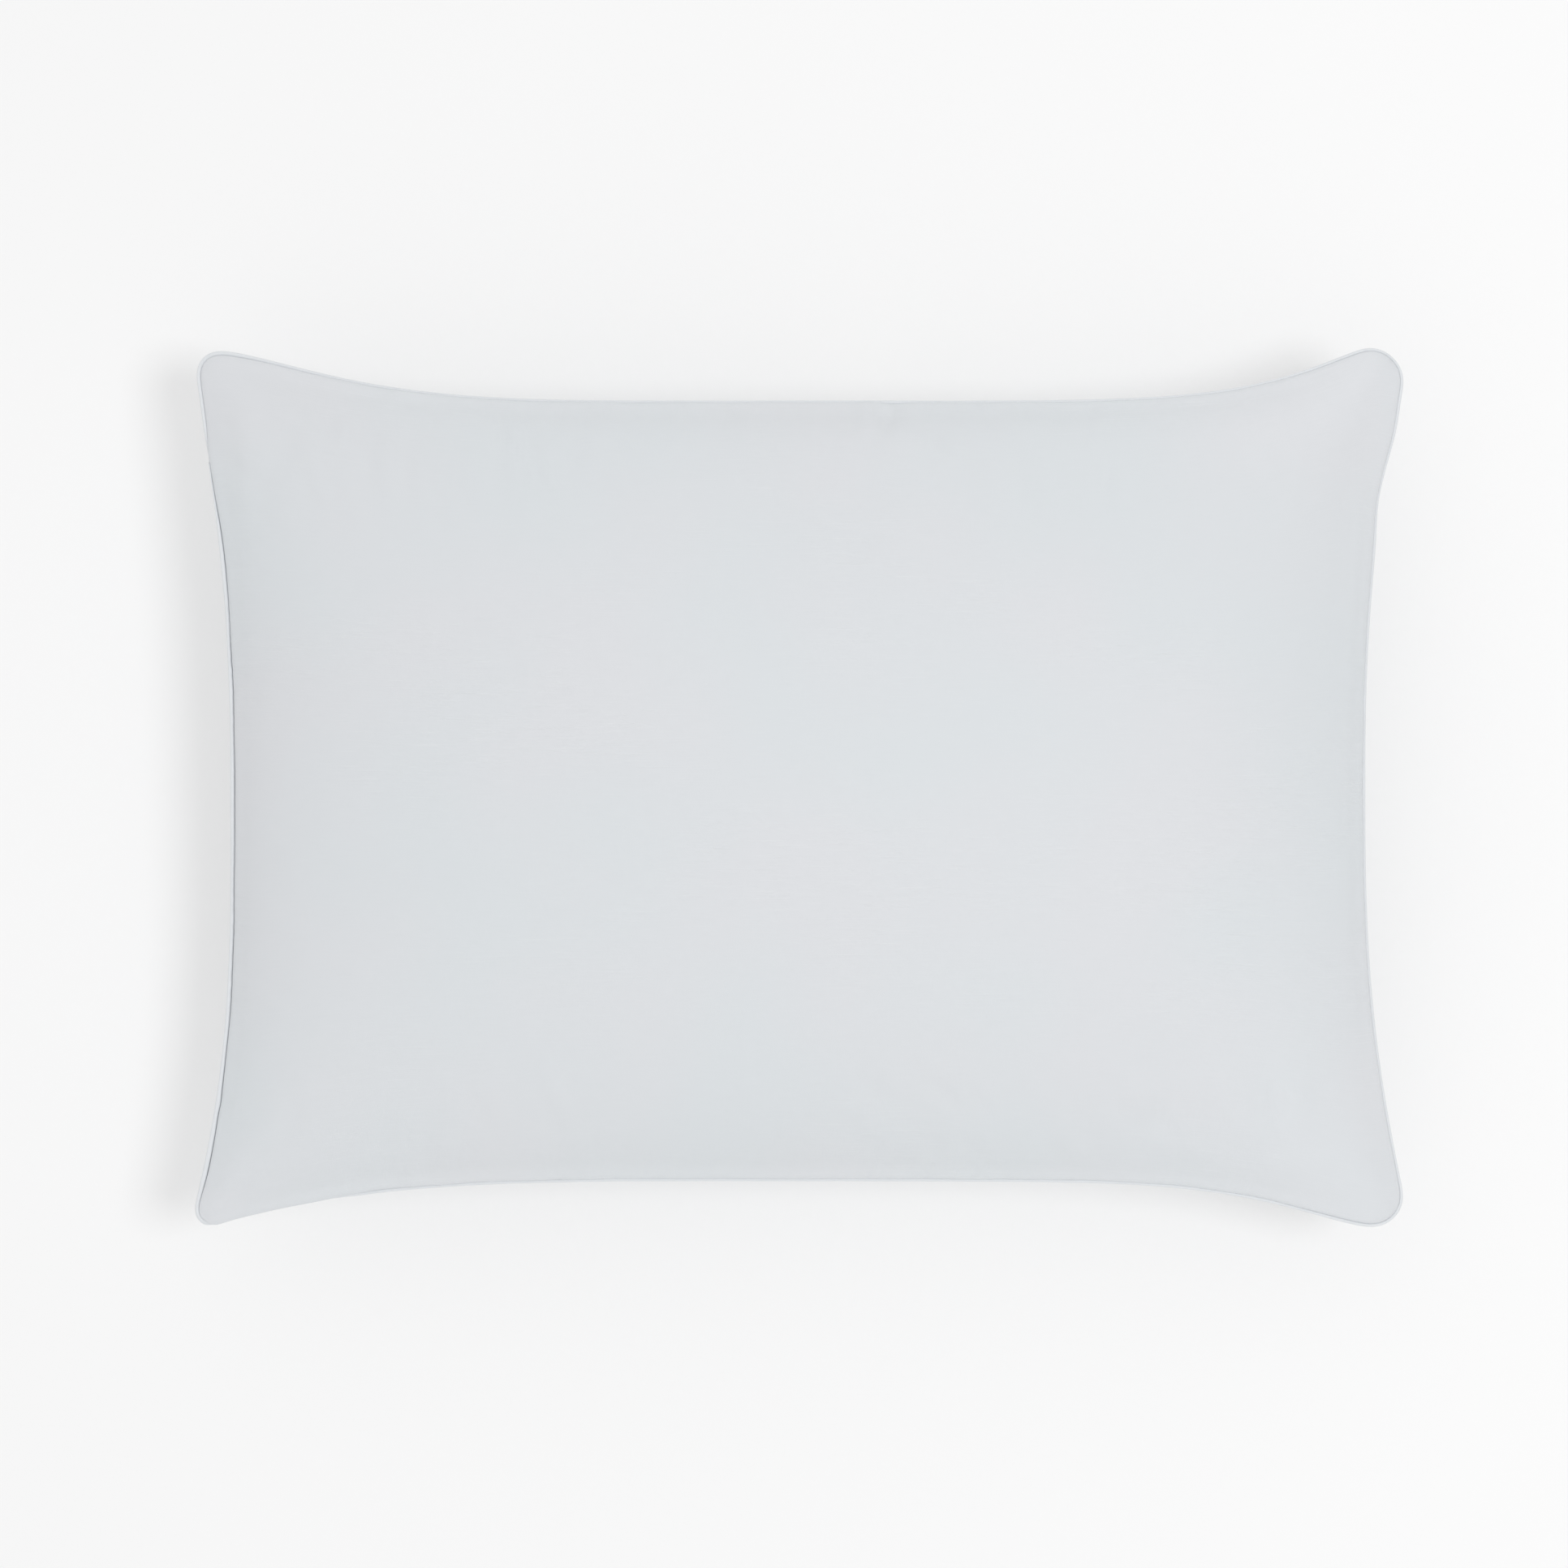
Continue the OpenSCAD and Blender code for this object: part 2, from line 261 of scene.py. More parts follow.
class Edge:
    """The seam and everything that follows it, one value for each step around."""

    def __init__(self):
        outside = rounded(outer_edge(), CORNER_SOFTENING)
        out = ring_normals(outside)
        outside = outside + out * ears(outside)[:, None]
        x, y = outside.T
        sides = side_of(outside)
        below_join = sides["left"] * soft_step(y, -0.245, -0.215)
        self.band = self.width_shown(x, y, sides, below_join)
        rolled = self.rolled_under(x, y, sides)
        self.tuck = rolled + 0.03 * wander(SEAM_STEPS, 40, 9)
        inset = self.band * (1 - 0.9 * rolled)
        self.seam = outside - out * inset[:, None]
        self.out = ring_normals(self.seam)
        self.lift = 0.0012 * wander(SEAM_STEPS, 7, 5) - 0.006 * self.droop(self.seam)
        self.slit = smooth_ring(below_join * soft_step(-y, -JOIN_Y - 0.003, -JOIN_Y + 0.001), 2)
        self.length = np.linalg.norm(np.diff(self.seam, axis=0), axis=1).sum()

    @staticmethod
    def width_shown(x, y, sides, below_join):
        """How wide the piping is in plan: slacker where the side was closed, tight at the join."""
        slack = smooth_ring(below_join * soft_step(-y, -JOIN_Y + 0.005, -JOIN_Y + 0.06), 8)
        corner = bump_at(np.abs(x), cad_high.x, 0.09) * bump_at(np.abs(y), cad_high.y, 0.09)
        band = 2 * BEAD_RADIUS + 0.0001 * wander(SEAM_STEPS, 60, 3)
        band += 0.0003 * corner * np.where(x < 0, 1, -0.6) + 0.0009 * slack
        band -= 0.0007 * below_join * (y < JOIN_Y) * bump_at(y, JOIN_Y, 0.024)
        kinks = np.zeros(len(x))
        for side, (place, length) in SMALL_KINKS.items():
            kinks = kinks + sides[side] * bump_at(x if side == "front" else y, place, length)
        return smooth_ring(band + 0.0005 * kinks, 6)

    @staticmethod
    def rolled_under(x, y, sides):
        """How far the piping is turned under: at the front's left end, and beside the join."""
        front = sides["front"] * soft_step(x, ROLLED[0] - 0.004, ROLLED[0] + 0.004)
        front = front * (1 - soft_step(x, ROLLED[1] - 0.024, ROLLED[1] + 0.024))
        above = 0.70 * (1 - soft_step(y, JOIN_Y, JOIN_Y + 0.026))
        below = 0.30 * (1 - soft_step(-y, -JOIN_Y, -JOIN_Y + 0.037))
        return smooth_ring(front + sides["left"] * np.where(y > JOIN_Y, above, below), 5)

    @staticmethod
    def droop(points):
        """The thinly filled corners hang a little lower."""
        return (np.abs(points[..., 0]) / cad_high.x) ** 4 * (np.abs(points[..., 1]) / cad_high.y) ** 4

    def at(self, side, value):
        """The step on a side that is nearest to that x or y."""
        here = side_of(self.seam)[side]
        along = self.seam[:, 1 if side in ("left", "right") else 0]
        return int(np.argmin(np.where(here, np.abs(along - value), 9)))

    def place(self, outward, upward):
        """Points that far outward from the seam and above it."""
        plan = self.seam + self.out * np.broadcast_to(outward, (SEAM_STEPS,))[:, None]
        high = SEAM_HEIGHT + self.lift + upward
        return np.concatenate([plan, np.broadcast_to(high, (SEAM_STEPS,))[:, None]], 1)


# ---------------------------------------------------------------- the cloth


def four_sides(ring):
    """A closed line cut at its four corners, in the order back, left, front, right."""
    corners = []
    for sign_x, sign_y in ((1, 1), (-1, 1), (-1, -1), (1, -1)):
        corners.append(int(np.argmax(ring[:, 0] * sign_x + ring[:, 1] * sign_y)))
    sides = []
    for number, start in enumerate(corners):
        stop = corners[(number + 1) % 4]
        steps = np.arange(start, stop + 1 if stop > start else stop + len(ring) + 1) % len(ring)
        sides.append(ring[steps])
    return sides


def patch(ring):
    """A grid stretched over a closed line, by Coons' rule."""
    back, left, front, right = four_sides(ring)
    back = evenly(back, COLUMNS)[::-1]
    left = evenly(left, ROWS)[::-1]
    front = evenly(front, COLUMNS)
    right = evenly(right, ROWS)
    u = np.linspace(0, 1, COLUMNS + 1)[:, None, None]
    v = np.linspace(0, 1, ROWS + 1)[None, :, None]
    ruled = (1 - v) * front[:, None] + v * back[:, None] + (1 - u) * left[None] + u * right[None]
    twice = (1 - u) * ((1 - v) * front[0] + v * back[0]) + u * ((1 - v) * front[-1] + v * back[-1])
    return ruled - twice


def flat_cut():
    """The sewn size of the two panels before they were filled."""
    half = np.array([CUT_LENGTH, CUT_WIDTH]) / 2 - SEAM_ALLOWANCE - 0.0025
    turn = np.linspace(0, 2 * math.pi, 4 * 64, endpoint=False)
    radius = 0.014
    direction = np.stack([np.cos(turn), np.sin(turn)], 1)
    return evenly(np.sign(direction) * (half - radius) + radius * direction, SEAM_STEPS, closed=True)


def grid_numbers():
    """Vertex numbers of the upper and lower grid, which share the seam."""
    upper = np.arange((COLUMNS + 1) * (ROWS + 1)).reshape(COLUMNS + 1, ROWS + 1)
    lower = upper.copy()
    count = (COLUMNS - 1) * (ROWS - 1)
    lower[1:-1, 1:-1] = upper.size + np.arange(count).reshape(COLUMNS - 1, ROWS - 1)
    return upper, lower


def quads(numbers, turned=False):
    a, b = numbers[:-1, :-1], numbers[1:, :-1]
    c, d = numbers[1:, 1:], numbers[:-1, 1:]
    order = (a, d, c, b) if turned else (a, b, c, d)
    return np.stack([corner.ravel() for corner in order], 1)


def pillow_shape(plan, height):
    """Both grids over one plan, domed."""
    upper, lower = grid_numbers()
    u = np.linspace(-1, 1, COLUMNS + 1)[:, None]
    v = np.linspace(-1, 1, ROWS + 1)[None, :]
    dome = height * ((1 - np.abs(u) ** 2.4) * (1 - np.abs(v) ** 2.4)) ** 0.6
    points = np.zeros((lower.max() + 1, 3))
    for numbers, sign in ((lower, -1), (upper, 1)):
        points[numbers, :2] = plan
        points[numbers, 2] = sign * dome
    return points


def cotton_under_pressure(settings):
    """A light cloth that hardly stretches, filled evenly and without weight."""
    settings.vertex_group_mass = "sewn"
    settings.quality = 6
    settings.mass = 0.3
    settings.tension_stiffness = 15
    settings.compression_stiffness = 15
    settings.shear_stiffness = 5
    settings.bending_stiffness = 0.05
    settings.use_pressure = True
    settings.uniform_pressure_force = PRESSURE
    settings.effector_weights.gravity = 0


def blow_up(edge):
    """The two panels as cloth, sewn at the edge and filled by pressure."""
    upper, lower = grid_numbers()
    start = pillow_shape(patch(edge.seam), 0.08)
    mesh = bpy.data.meshes.new("blown")
    faces = np.vstack([quads(upper), quads(lower, turned=True)])
    mesh.from_pydata(start.tolist(), [], faces.tolist())
    cloth = bpy.data.objects.new("blown", mesh)
    bpy.context.scene.collection.objects.link(cloth)
    cloth.shape_key_add(name="filled")
    cut = cloth.shape_key_add(name="cut")
    cut.data.foreach_set("co", pillow_shape(patch(flat_cut()), 0.002).astype(np.float32).ravel())
    sewn = cloth.vertex_groups.new(name="sewn")
    rim = np.concatenate([upper[0], upper[-1], upper[:, 0], upper[:, -1]])
    sewn.add(np.unique(rim).tolist(), 1, "REPLACE")
    modifier = cloth.modifiers.new("cloth", "CLOTH")
    modifier.settings.rest_shape_key = cut
    cotton_under_pressure(modifier.settings)
    modifier.collision_settings.use_collision = False
    modifier.point_cache.frame_start = 1
    modifier.point_cache.frame_end = FRAMES
    scene = bpy.context.scene
    for step in range(1, FRAMES + 1):
        scene.frame_set(step)
    graph = bpy.context.evaluated_depsgraph_get()
    made = cloth.evaluated_get(graph).to_mesh()
    points = np.empty(len(made.vertices) * 3, np.float32)
    made.vertices.foreach_get("co", points)
    cloth.evaluated_get(graph).to_mesh_clear()
    bpy.data.objects.remove(cloth)
    scene.frame_set(1)
    return points.reshape(-1, 3).astype(float)


def away_from_corners(count):
    """1 along most of a side, 0 at its two corners."""
    return 1 - np.abs(np.linspace(-1, 1, count)) ** 7


def lean_out(grid, sign):
    """Lets the panel swell out over the piping just above the seam."""
    turned = grid.swapaxes(0, 1)
    borders = {"left": grid, "right": grid[::-1], "front": turned, "back": turned[::-1]}
    for name, border in borders.items():
        seam = border[0].copy()
        ahead = np.gradient(seam[:, :2], axis=0)
        out = np.stack([ahead[:, 1], -ahead[:, 0]], 1)
        out /= np.linalg.norm(out, axis=1)[:, None]
        out *= np.sign((out * seam[:, :2]).sum(1))[:, None]
        for row in border[1:14]:
            high = sign * (row[:, 2] - seam[:, 2])
            share = soft_step(high, 0.0001, 0.0012) * (1 - soft_step(high, 0.003, 0.011))
            row[:, :2] += out * (LIPS[name] * share * away_from_corners(len(row)))[:, None]


def off_the_seam(cut):
    """How far each point of the flat cut is from the seam."""
    borders = (cut[:1], cut[-1:], cut[:, :1], cut[:, -1:])
    return np.min([np.linalg.norm(cut - border, axis=2) for border in borders], axis=0)


def meet_the_seam(grid, edge):
    """Brings the panel's edge exactly onto the seam, and the rows beside it along with it."""
    seam = edge.place(0, 0)
    turned = grid.swapaxes(0, 1)
    for border in (grid, grid[::-1], turned, turned[::-1]):
        rim = border[0].copy()
        nearest = np.argmin(np.linalg.norm(rim[:, None, :2] - seam[None, :, :2], axis=2), axis=1)
        gap = seam[nearest] - rim
        out = edge.out[nearest]
        gap[:, :2] = (gap[:, :2] * out).sum(1)[:, None] * out
        for row, share in zip(border[:12], np.linspace(1, 0, 12)):
            row += gap * share


def finer(grid, hang):
    """A grid with FINER times as many steps, and more next to the seam, by Catmull and Rom's curves.

    hang is how upright the cloth leaves the seam away from the corners, 1 being quite upright."""
    inner_parts = [part / FINER for part in range(FINER)]
    last_parts = [0] + [1 - part for part in EDGE_PARTS[:0:-1]]
    for _ in range(2):
        grid = np.swapaxes(grid, 0, 1)
        ghosts = []
        for seam, inner in ((grid[0], grid[1]), (grid[-1], grid[-2])):
            onward = 2 * seam - inner
            upright = inner.copy()
            upright[:, 2] = 2 * seam[:, 2] - inner[:, 2]
            share = hang * away_from_corners(len(seam))[:, None]
            ghosts.append((1 - share) * onward + share * upright)
        full = np.concatenate([ghosts[0][None], grid, ghosts[1][None]])
        spans = len(grid) - 1
        parts = [EDGE_PARTS] + [inner_parts] * (spans - 2) + [last_parts]
        span = np.concatenate([np.full(len(part), number) for number, part in enumerate(parts)])
        t = np.concatenate(parts)[:, None, None]
        p0, p1, p2, p3 = [full[span + number] for number in range(4)]
        bend = 2 * p1 + (p2 - p0) * t + (2 * p0 - 5 * p1 + 4 * p2 - p3) * t**2
        fine = 0.5 * (bend + (3 * p1 - p0 - 3 * p2 + p3) * t**3)
        grid = np.concatenate([fine, grid[-1:]])
    return grid


def grid_normals(grid):
    along = np.gradient(grid, axis=0)
    across = np.gradient(grid, axis=1)
    normals = np.cross(along, across)
    return normals / np.maximum(np.linalg.norm(normals, axis=2), 1e-12)[..., None]


def puckers(plan, chance, count, area, slant, size=0.0007):
    """Soft small folds in one area of the cloth: ridges with a hollow on either side."""
    (x0, x1), (y0, y1) = area
    total = np.zeros(plan.shape[:2])
    for _ in range(count):
        centre = np.array([chance.uniform(x0, x1), chance.uniform(y0, y1)])
        angle = math.radians(90 + slant + chance.normal(0, 28))
        along = np.array([math.cos(angle), math.sin(angle)])
        off = plan - centre
        far = off @ along
        near = off @ np.array([-along[1], along[0]])
        width = chance.uniform(0.0045, 0.0095)
        length = chance.uniform(0.008, 0.022)
        ridge = (1 - (near / width) ** 2) * np.exp(-0.5 * (near / width) ** 2 - 0.5 * (far / length) ** 2)
        total += chance.choice([-1, 1]) * chance.uniform(0.4, 1) * size * ridge
    return total


def relief(plan, seed):
    """All the small unevenness of one panel's cloth, as a height over its surface."""
    chance = np.random.default_rng(seed)
    total = puckers(plan, chance, 44, ((-0.29, 0.10), (0.170, 0.222)), 4)
    total += puckers(plan, chance, 14, ((0.10, 0.29), (0.170, 0.222)), -6, 0.0005)
    total += puckers(plan, chance, 26, ((0.0, 0.30), (-0.222, -0.165)), 32, 0.00065)
    total += puckers(plan, chance, 16, ((-0.28, 0.0), (-0.222, -0.170)), -20, 0.0005)
    total += puckers(plan, chance, 10, ((-0.33, -0.27), (0.16, 0.23)), 40)
    total += puckers(plan, chance, 10, ((-0.33, -0.26), (-0.24, -0.17)), -40)
    total += puckers(plan, chance, 16, ((-0.31, -0.28), (-0.17, 0.17)), 90, 0.00025)
    total += puckers(plan, chance, 16, ((0.28, 0.31), (-0.17, 0.17)), 90, 0.00025)
    return total


def seam_gathers(grid, cut, seed):
    """The short tight ripples that the stitching leaves along the seam."""
    half = np.abs(cut).max((0, 1))
    to_long, to_short = half[1] - np.abs(cut[..., 1]), half[0] - np.abs(cut[..., 0])
    total = np.zeros(grid.shape[:2])
    for distance, place, offset in ((to_long, cut[..., 0], 0), (to_short, cut[..., 1], 1)):
        chance = np.random.default_rng(seed + offset)
        wave = np.zeros_like(place)
        for _ in range(9):
            length = chance.uniform(0.0055, 0.015)
            wave += np.sin(2 * math.pi * place / length + chance.uniform(0, ANY_PHASE)) / 7
        strength = (0.6 + 0.4 * np.sin(place * 37 + seed)) * (1 - (place / np.abs(place).max()) ** 10)
        total += 0.0011 * wave * strength * np.exp(-distance / 0.007) * soft_step(distance, 0, 0.003)
    return total


def make_room(grid, cut):
    """Draws the lower panel in behind the piping where the piping is rolled under."""
    start, stop = ROLLED
    off = cut[..., 1] - cut[..., 1].min()
    x = grid[..., 0]
    near = soft_step(x, start - 0.004, start + 0.004) * (1 - soft_step(x, stop - 0.004, stop + 0.004))
    behind = soft_step(off, 0, 0.0015) * (1 - soft_step(off, 0.004, 0.020))
    grid[..., 1] += ROLLED_ROOM * near * behind


def rest_on_table(high, softness=0.003):
    """Flattens what would go below the table."""
    return softness * np.logaddexp(0, high / softness)


def finished_grids(edge):
    """The two panels at full fineness, the two as simulated, and each point's place on the flat cut."""
    upper, lower = grid_numbers()
    blown = blow_up(edge)
    cut = np.pad(patch(flat_cut()), ((0, 0), (0, 0), (0, 1)))
    cut = finer(cut, 0)[..., :2]
    lift = patch(np.concatenate([edge.seam, edge.lift[:, None]], 1))[..., 2]
    grids, coarse = [], []
    for numbers, sign, seed in ((upper, 1, 11), (lower, -1, 23)):
        grid = blown[numbers]
        room = HEIGHT - SEAM_HEIGHT if sign > 0 else 1.18 * SEAM_HEIGHT
        grid[..., 2] *= room / np.abs(grid[..., 2]).max()
        grid[..., 2] += SEAM_HEIGHT + lift
        coarse.append(grid.copy())
        grid = finer(grid, 1.0)
        grid[..., 2] += sign * FOLD_HEIGHT * soft_step(off_the_seam(cut), 0, 0.6 * FOLD_HEIGHT)
        lean_out(grid, sign)
        uneven = relief(grid[..., :2], seed) + seam_gathers(grid, cut, seed)
        grid += grid_normals(grid) * (sign * uneven)[..., None]
        if sign > 0:
            settle = (HEIGHT - SEAM_HEIGHT) / (grid[..., 2].max() - SEAM_HEIGHT)
            for part in (grid, coarse[0]):
                part[..., 2] = SEAM_HEIGHT + (part[..., 2] - SEAM_HEIGHT) * settle
        else:
            make_room(grid, cut)
            grid[..., 2] = rest_on_table(grid[..., 2])
        meet_the_seam(grid, edge)
        grids.append(grid)
    return grids, coarse, cut


# ---------------------------------------------------------------- mesh helpers


def make_object(name, points, faces, material, place_in_cloth=None):
    mesh = bpy.data.meshes.new(name)
    mesh.from_pydata(points.tolist(), [], [[int(v) for v in face] for face in faces])
    mesh.validate()
    mesh.polygons.foreach_set("use_smooth", [True] * len(mesh.polygons))
    if place_in_cloth is not None:
        layer = mesh.attributes.new("cloth", "FLOAT_VECTOR", "POINT")
        layer.data.foreach_set("vector", place_in_cloth.astype(np.float32).ravel())
    mesh.materials.append(material)
    made = bpy.data.objects.new(name, mesh)
    bpy.context.scene.collection.objects.link(made)
    return made


def rim_of(numbers):
    """The vertex numbers round a grid, from its front left corner and anticlockwise."""
    sides = [numbers[:-1, 0], numbers[-1, :-1], numbers[:0:-1, -1], numbers[0, :0:-1]]
    return np.concatenate(sides)


def between_rings(first, second):
    """Quads from one closed run of vertex numbers to the next."""
    return np.stack([first, np.roll(first, -1), np.roll(second, -1), second], 1)


def band_faces(around, along, first=0, closed=True):
    """Quads over rings of points, one ring after the other."""
    ring = first + np.arange(along * around).reshape(along, around)
    if closed:
        ring = np.vstack([ring, ring[:1]])
    nxt = np.roll(ring, -1, axis=1)
    faces = np.stack([ring[:-1], nxt[:-1], nxt[1:], ring[1:]], 2)
    return faces.reshape(-1, 4)


def tube(name, line, radius, sides, material, closed=False):
    """A round thread or cord along a line in space, with its ends capped."""
    if closed:
        ahead = np.roll(line, -1, 0) - np.roll(line, 1, 0)
    else:
        ahead = np.gradient(line, axis=0)
    ahead /= np.linalg.norm(ahead, axis=1)[:, None]
    side = np.cross(ahead, [0.0, 0.0, 1.0])
    flat = np.linalg.norm(side, axis=1) < 0.2
    side[flat] = np.cross(ahead[flat], [1.0, 0.0, 0.0])
    side /= np.linalg.norm(side, axis=1)[:, None]
    up = np.cross(side, ahead)
    turn = np.linspace(0, 2 * math.pi, sides, endpoint=False)
    wide = np.broadcast_to(radius, (len(line),))[:, None, None]
    ring = np.cos(turn)[None, :, None] * side[:, None] + np.sin(turn)[None, :, None] * up[:, None]
    points = (line[:, None] + wide * ring).reshape(-1, 3)
    faces = [tuple(face) for face in band_faces(sides, len(line), closed=closed)]
    if not closed:
        last = (len(line) - 1) * sides
        faces.append(tuple(range(sides))[::-1])
        faces.append(tuple(range(last, last + sides)))
    gone = np.concatenate([[0], np.cumsum(np.linalg.norm(np.diff(line, axis=0), axis=1))])
    place = np.zeros((len(line), sides, 3))
    place[..., 0] = gone[:, None]
    place[..., 1] = turn[None] * np.mean(radius)
    return make_object(name, points, faces, material, place.reshape(-1, 3))


# ---------------------------------------------------------------- pieces


def panel(name, grid, cut, side, material):
    """One face of the ticking, with the seam allowance turned in behind its edge."""
    wide, deep = grid.shape[:2]
    numbers = np.arange(wide * deep).reshape(wide, deep)
    rim = rim_of(numbers)
    points = grid.reshape(-1, 3)
    place = np.pad(cut, ((0, 0), (0, 0), (0, 1))).reshape(-1, 3)
    ring = points[rim]
    inward = -ring_normals(ring[:, :2])
    flaps, flap_places = [], []
    for reach in TURNED_IN:
        row = ring + np.pad(inward * reach, ((0, 0), (0, 1)))
        row[:, 2] += side * PANEL_OFF
        flaps.append(row)
        flap_places.append(place[rim] + np.pad(inward * reach, ((0, 0), (0, 1))))
    faces = [quads(numbers, turned=side < 0)]
    rows = [rim] + [len(points) + k * len(rim) + np.arange(len(rim)) for k in range(len(flaps))]
    for outer, inner in zip(rows[:-1], rows[1:]):
        strip = between_rings(outer, inner)
        faces.append(strip[:, ::-1] if side > 0 else strip)
    points = np.vstack([points, *flaps])
    place = np.vstack([place, *flap_places])
    made = make_object(name, points, np.vstack(faces), material, place)
    ends = np.empty(2 * len(made.data.edges), int)
    made.data.edges.foreach_get("vertices", ends)
    made.data.edges.foreach_set("use_edge_sharp", np.isin(ends, rim).reshape(-1, 2).all(1))
    return made


def filling(coarse, material):
    """The stuffing: both panels drawn in under the ticking, and a rounded wall between."""
    skins = []
    for grid, sign in zip(coarse, (1, -1)):
        inner = (grid - grid_normals(grid) * sign * FILL_GAP)[2:-2, 2:-2]
        inner[..., 2] = np.maximum(inner[..., 2], 0.0012)
        skins.append(inner)
    wide, deep = skins[0].shape[:2]
    top = np.arange(wide * deep).reshape(wide, deep)
    base = top + top.size
    rims = [rim_of(top), rim_of(base)]
    points = np.vstack([skin.reshape(-1, 3) for skin in skins])
    belly = (points[rims[0]] + points[rims[1]]) / 2
    belly[:, :2] += ring_normals(belly[:, :2]) * 0.0015
    middle = len(points) + np.arange(len(belly))
    points = np.vstack([points, belly])
    faces = [quads(top), quads(base, turned=True)]
    for low, high in ((rims[1], middle), (middle, rims[0])):
        faces.append(between_rings(low, high))
    return make_object("stuffing", points, np.vstack(faces), material, points.copy())


def piping_section(edge, step, tuck):
    """The bias strip round its cord at one step: outward and upward from the seam.

    Where the pillow was closed by hand the strip stands off the panel, and a deep slit shows."""
    slit = edge.slit[step]
    gap = SLIT_WIDTH * slit
    radius = (edge.band[step] - gap) / 2
    turn = np.radians(np.linspace(24 - 60 * slit, 336 - 30 * slit, STRIP_POINTS))
    out = gap + radius * (1 - np.cos(turn))
    high = BEAD_RADIUS * np.sin(turn)
    roll = -ROLL * tuck
    rolled_out = out * math.cos(roll) - high * math.sin(roll) - DRAWN_IN * min(1, max(0, tuck))
    rolled_up = out * math.sin(roll) + high * math.cos(roll)
    tail_out = np.array([-0.003, -SEAM_ALLOWANCE, -SEAM_ALLOWANCE, -0.003])
    tail_up = np.array([-TAIL_OFF, -TAIL_OFF, TAIL_OFF, TAIL_OFF])
    return np.concatenate([rolled_out, tail_out]), np.concatenate([rolled_up, tail_up]), turn


def cord_line(edge, steps):
    """The middle of the cord inside the strip."""
    gap = SLIT_WIDTH * edge.slit[steps]
    middle = (edge.band[steps] + gap) / 2
    tuck = edge.tuck[steps]
    roll = -ROLL * tuck
    line = np.zeros((len(steps), 3))
    reach = middle * np.cos(roll) - DRAWN_IN * np.clip(tuck, 0, 1)
    line[:, :2] = edge.seam[steps] + edge.out[steps] * reach[:, None]
    line[:, 2] = SEAM_HEIGHT + edge.lift[steps] + middle * np.sin(roll)
    return line


def piping_steps(edge):
    """Steps round the edge from the join, down the left side and back to the join."""
    join = edge.at("left", JOIN_Y)
    return (join + np.arange(SEAM_STEPS + 9)) % SEAM_STEPS


def end_tuck(count):
    """How far the last end of the piping has narrowed, to go in beside the first."""
    left = (count - 1 - np.arange(count)) / END_STEPS
    return soft_step(1 - left, 0, 0.6)


def piping(edge, material):
    """The corded edging. Its narrowed last end meets its first at the join, on the left side."""
    steps = piping_steps(edge)
    narrowed = end_tuck(len(steps))
    points, places = [], []
    gone = 0.0
    for number, step in enumerate(steps):
        out, high, turn = piping_section(edge, step, edge.tuck[step])
        reach = 1 - 0.3 * narrowed[number]
        ring = np.zeros((len(out), 3))
        ring[:, :2] = edge.seam[step] + edge.out[step] * (out * reach)[:, None]
        ring[:, 2] = SEAM_HEIGHT + edge.lift[step] + high * reach
        points.append(ring)
        place = np.zeros((len(out), 3))
        place[:, 0] = gone
        place[:STRIP_POINTS, 1] = turn * BEAD_RADIUS
        places.append(place)
        gone += edge.length / SEAM_STEPS
    around = len(points[0])
    faces = [tuple(face) for face in band_faces(around, len(steps), closed=False)]
    last = (len(steps) - 1) * around
    faces.append(tuple(range(around))[::-1])
    faces.append(tuple(range(last, last + around)))
    return make_object("piping", np.vstack(points), faces, material, np.vstack(places))


def piping_filler(edge, material):
    """The cord inside the piping, ending short of the join on both sides."""
    steps = piping_steps(edge)[6:-34]
    return tube("piping_filler", cord_line(edge, steps)[::2], CORD_RADIUS, 8, material)


def seam_stitches(edge, material):
    """The lockstitch through all the layers, just behind the piping, one thread each side."""
    made = []
    rise = 0.00006 * np.cos(np.arange(SEAM_STEPS) * math.pi / 2)
    for name, side in (("upper", 1), ("lower", -1)):
        ring = edge.place(-THREAD_IN, side * (THREAD_OFF + rise))
        made.append(tube(f"seam_thread_{name}", ring[::2], THREAD_RADIUS, 6, material, closed=True))
    return made


def overlock(edge, material):
    """The thread that wraps the raw edges of the allowance, over and under."""
    turns = round(edge.length / 0.005)
    steps = np.arange(SEAM_STEPS)
    wrap = 2 * math.pi * turns * steps / SEAM_STEPS
    reach = -(SEAM_ALLOWANCE - 0.0010) - 0.0014 * np.cos(wrap)
    high = 0.00115 * np.sin(wrap)
    return tube("overlock", edge.place(reach, high), THREAD_RADIUS, 5, material, closed=True)


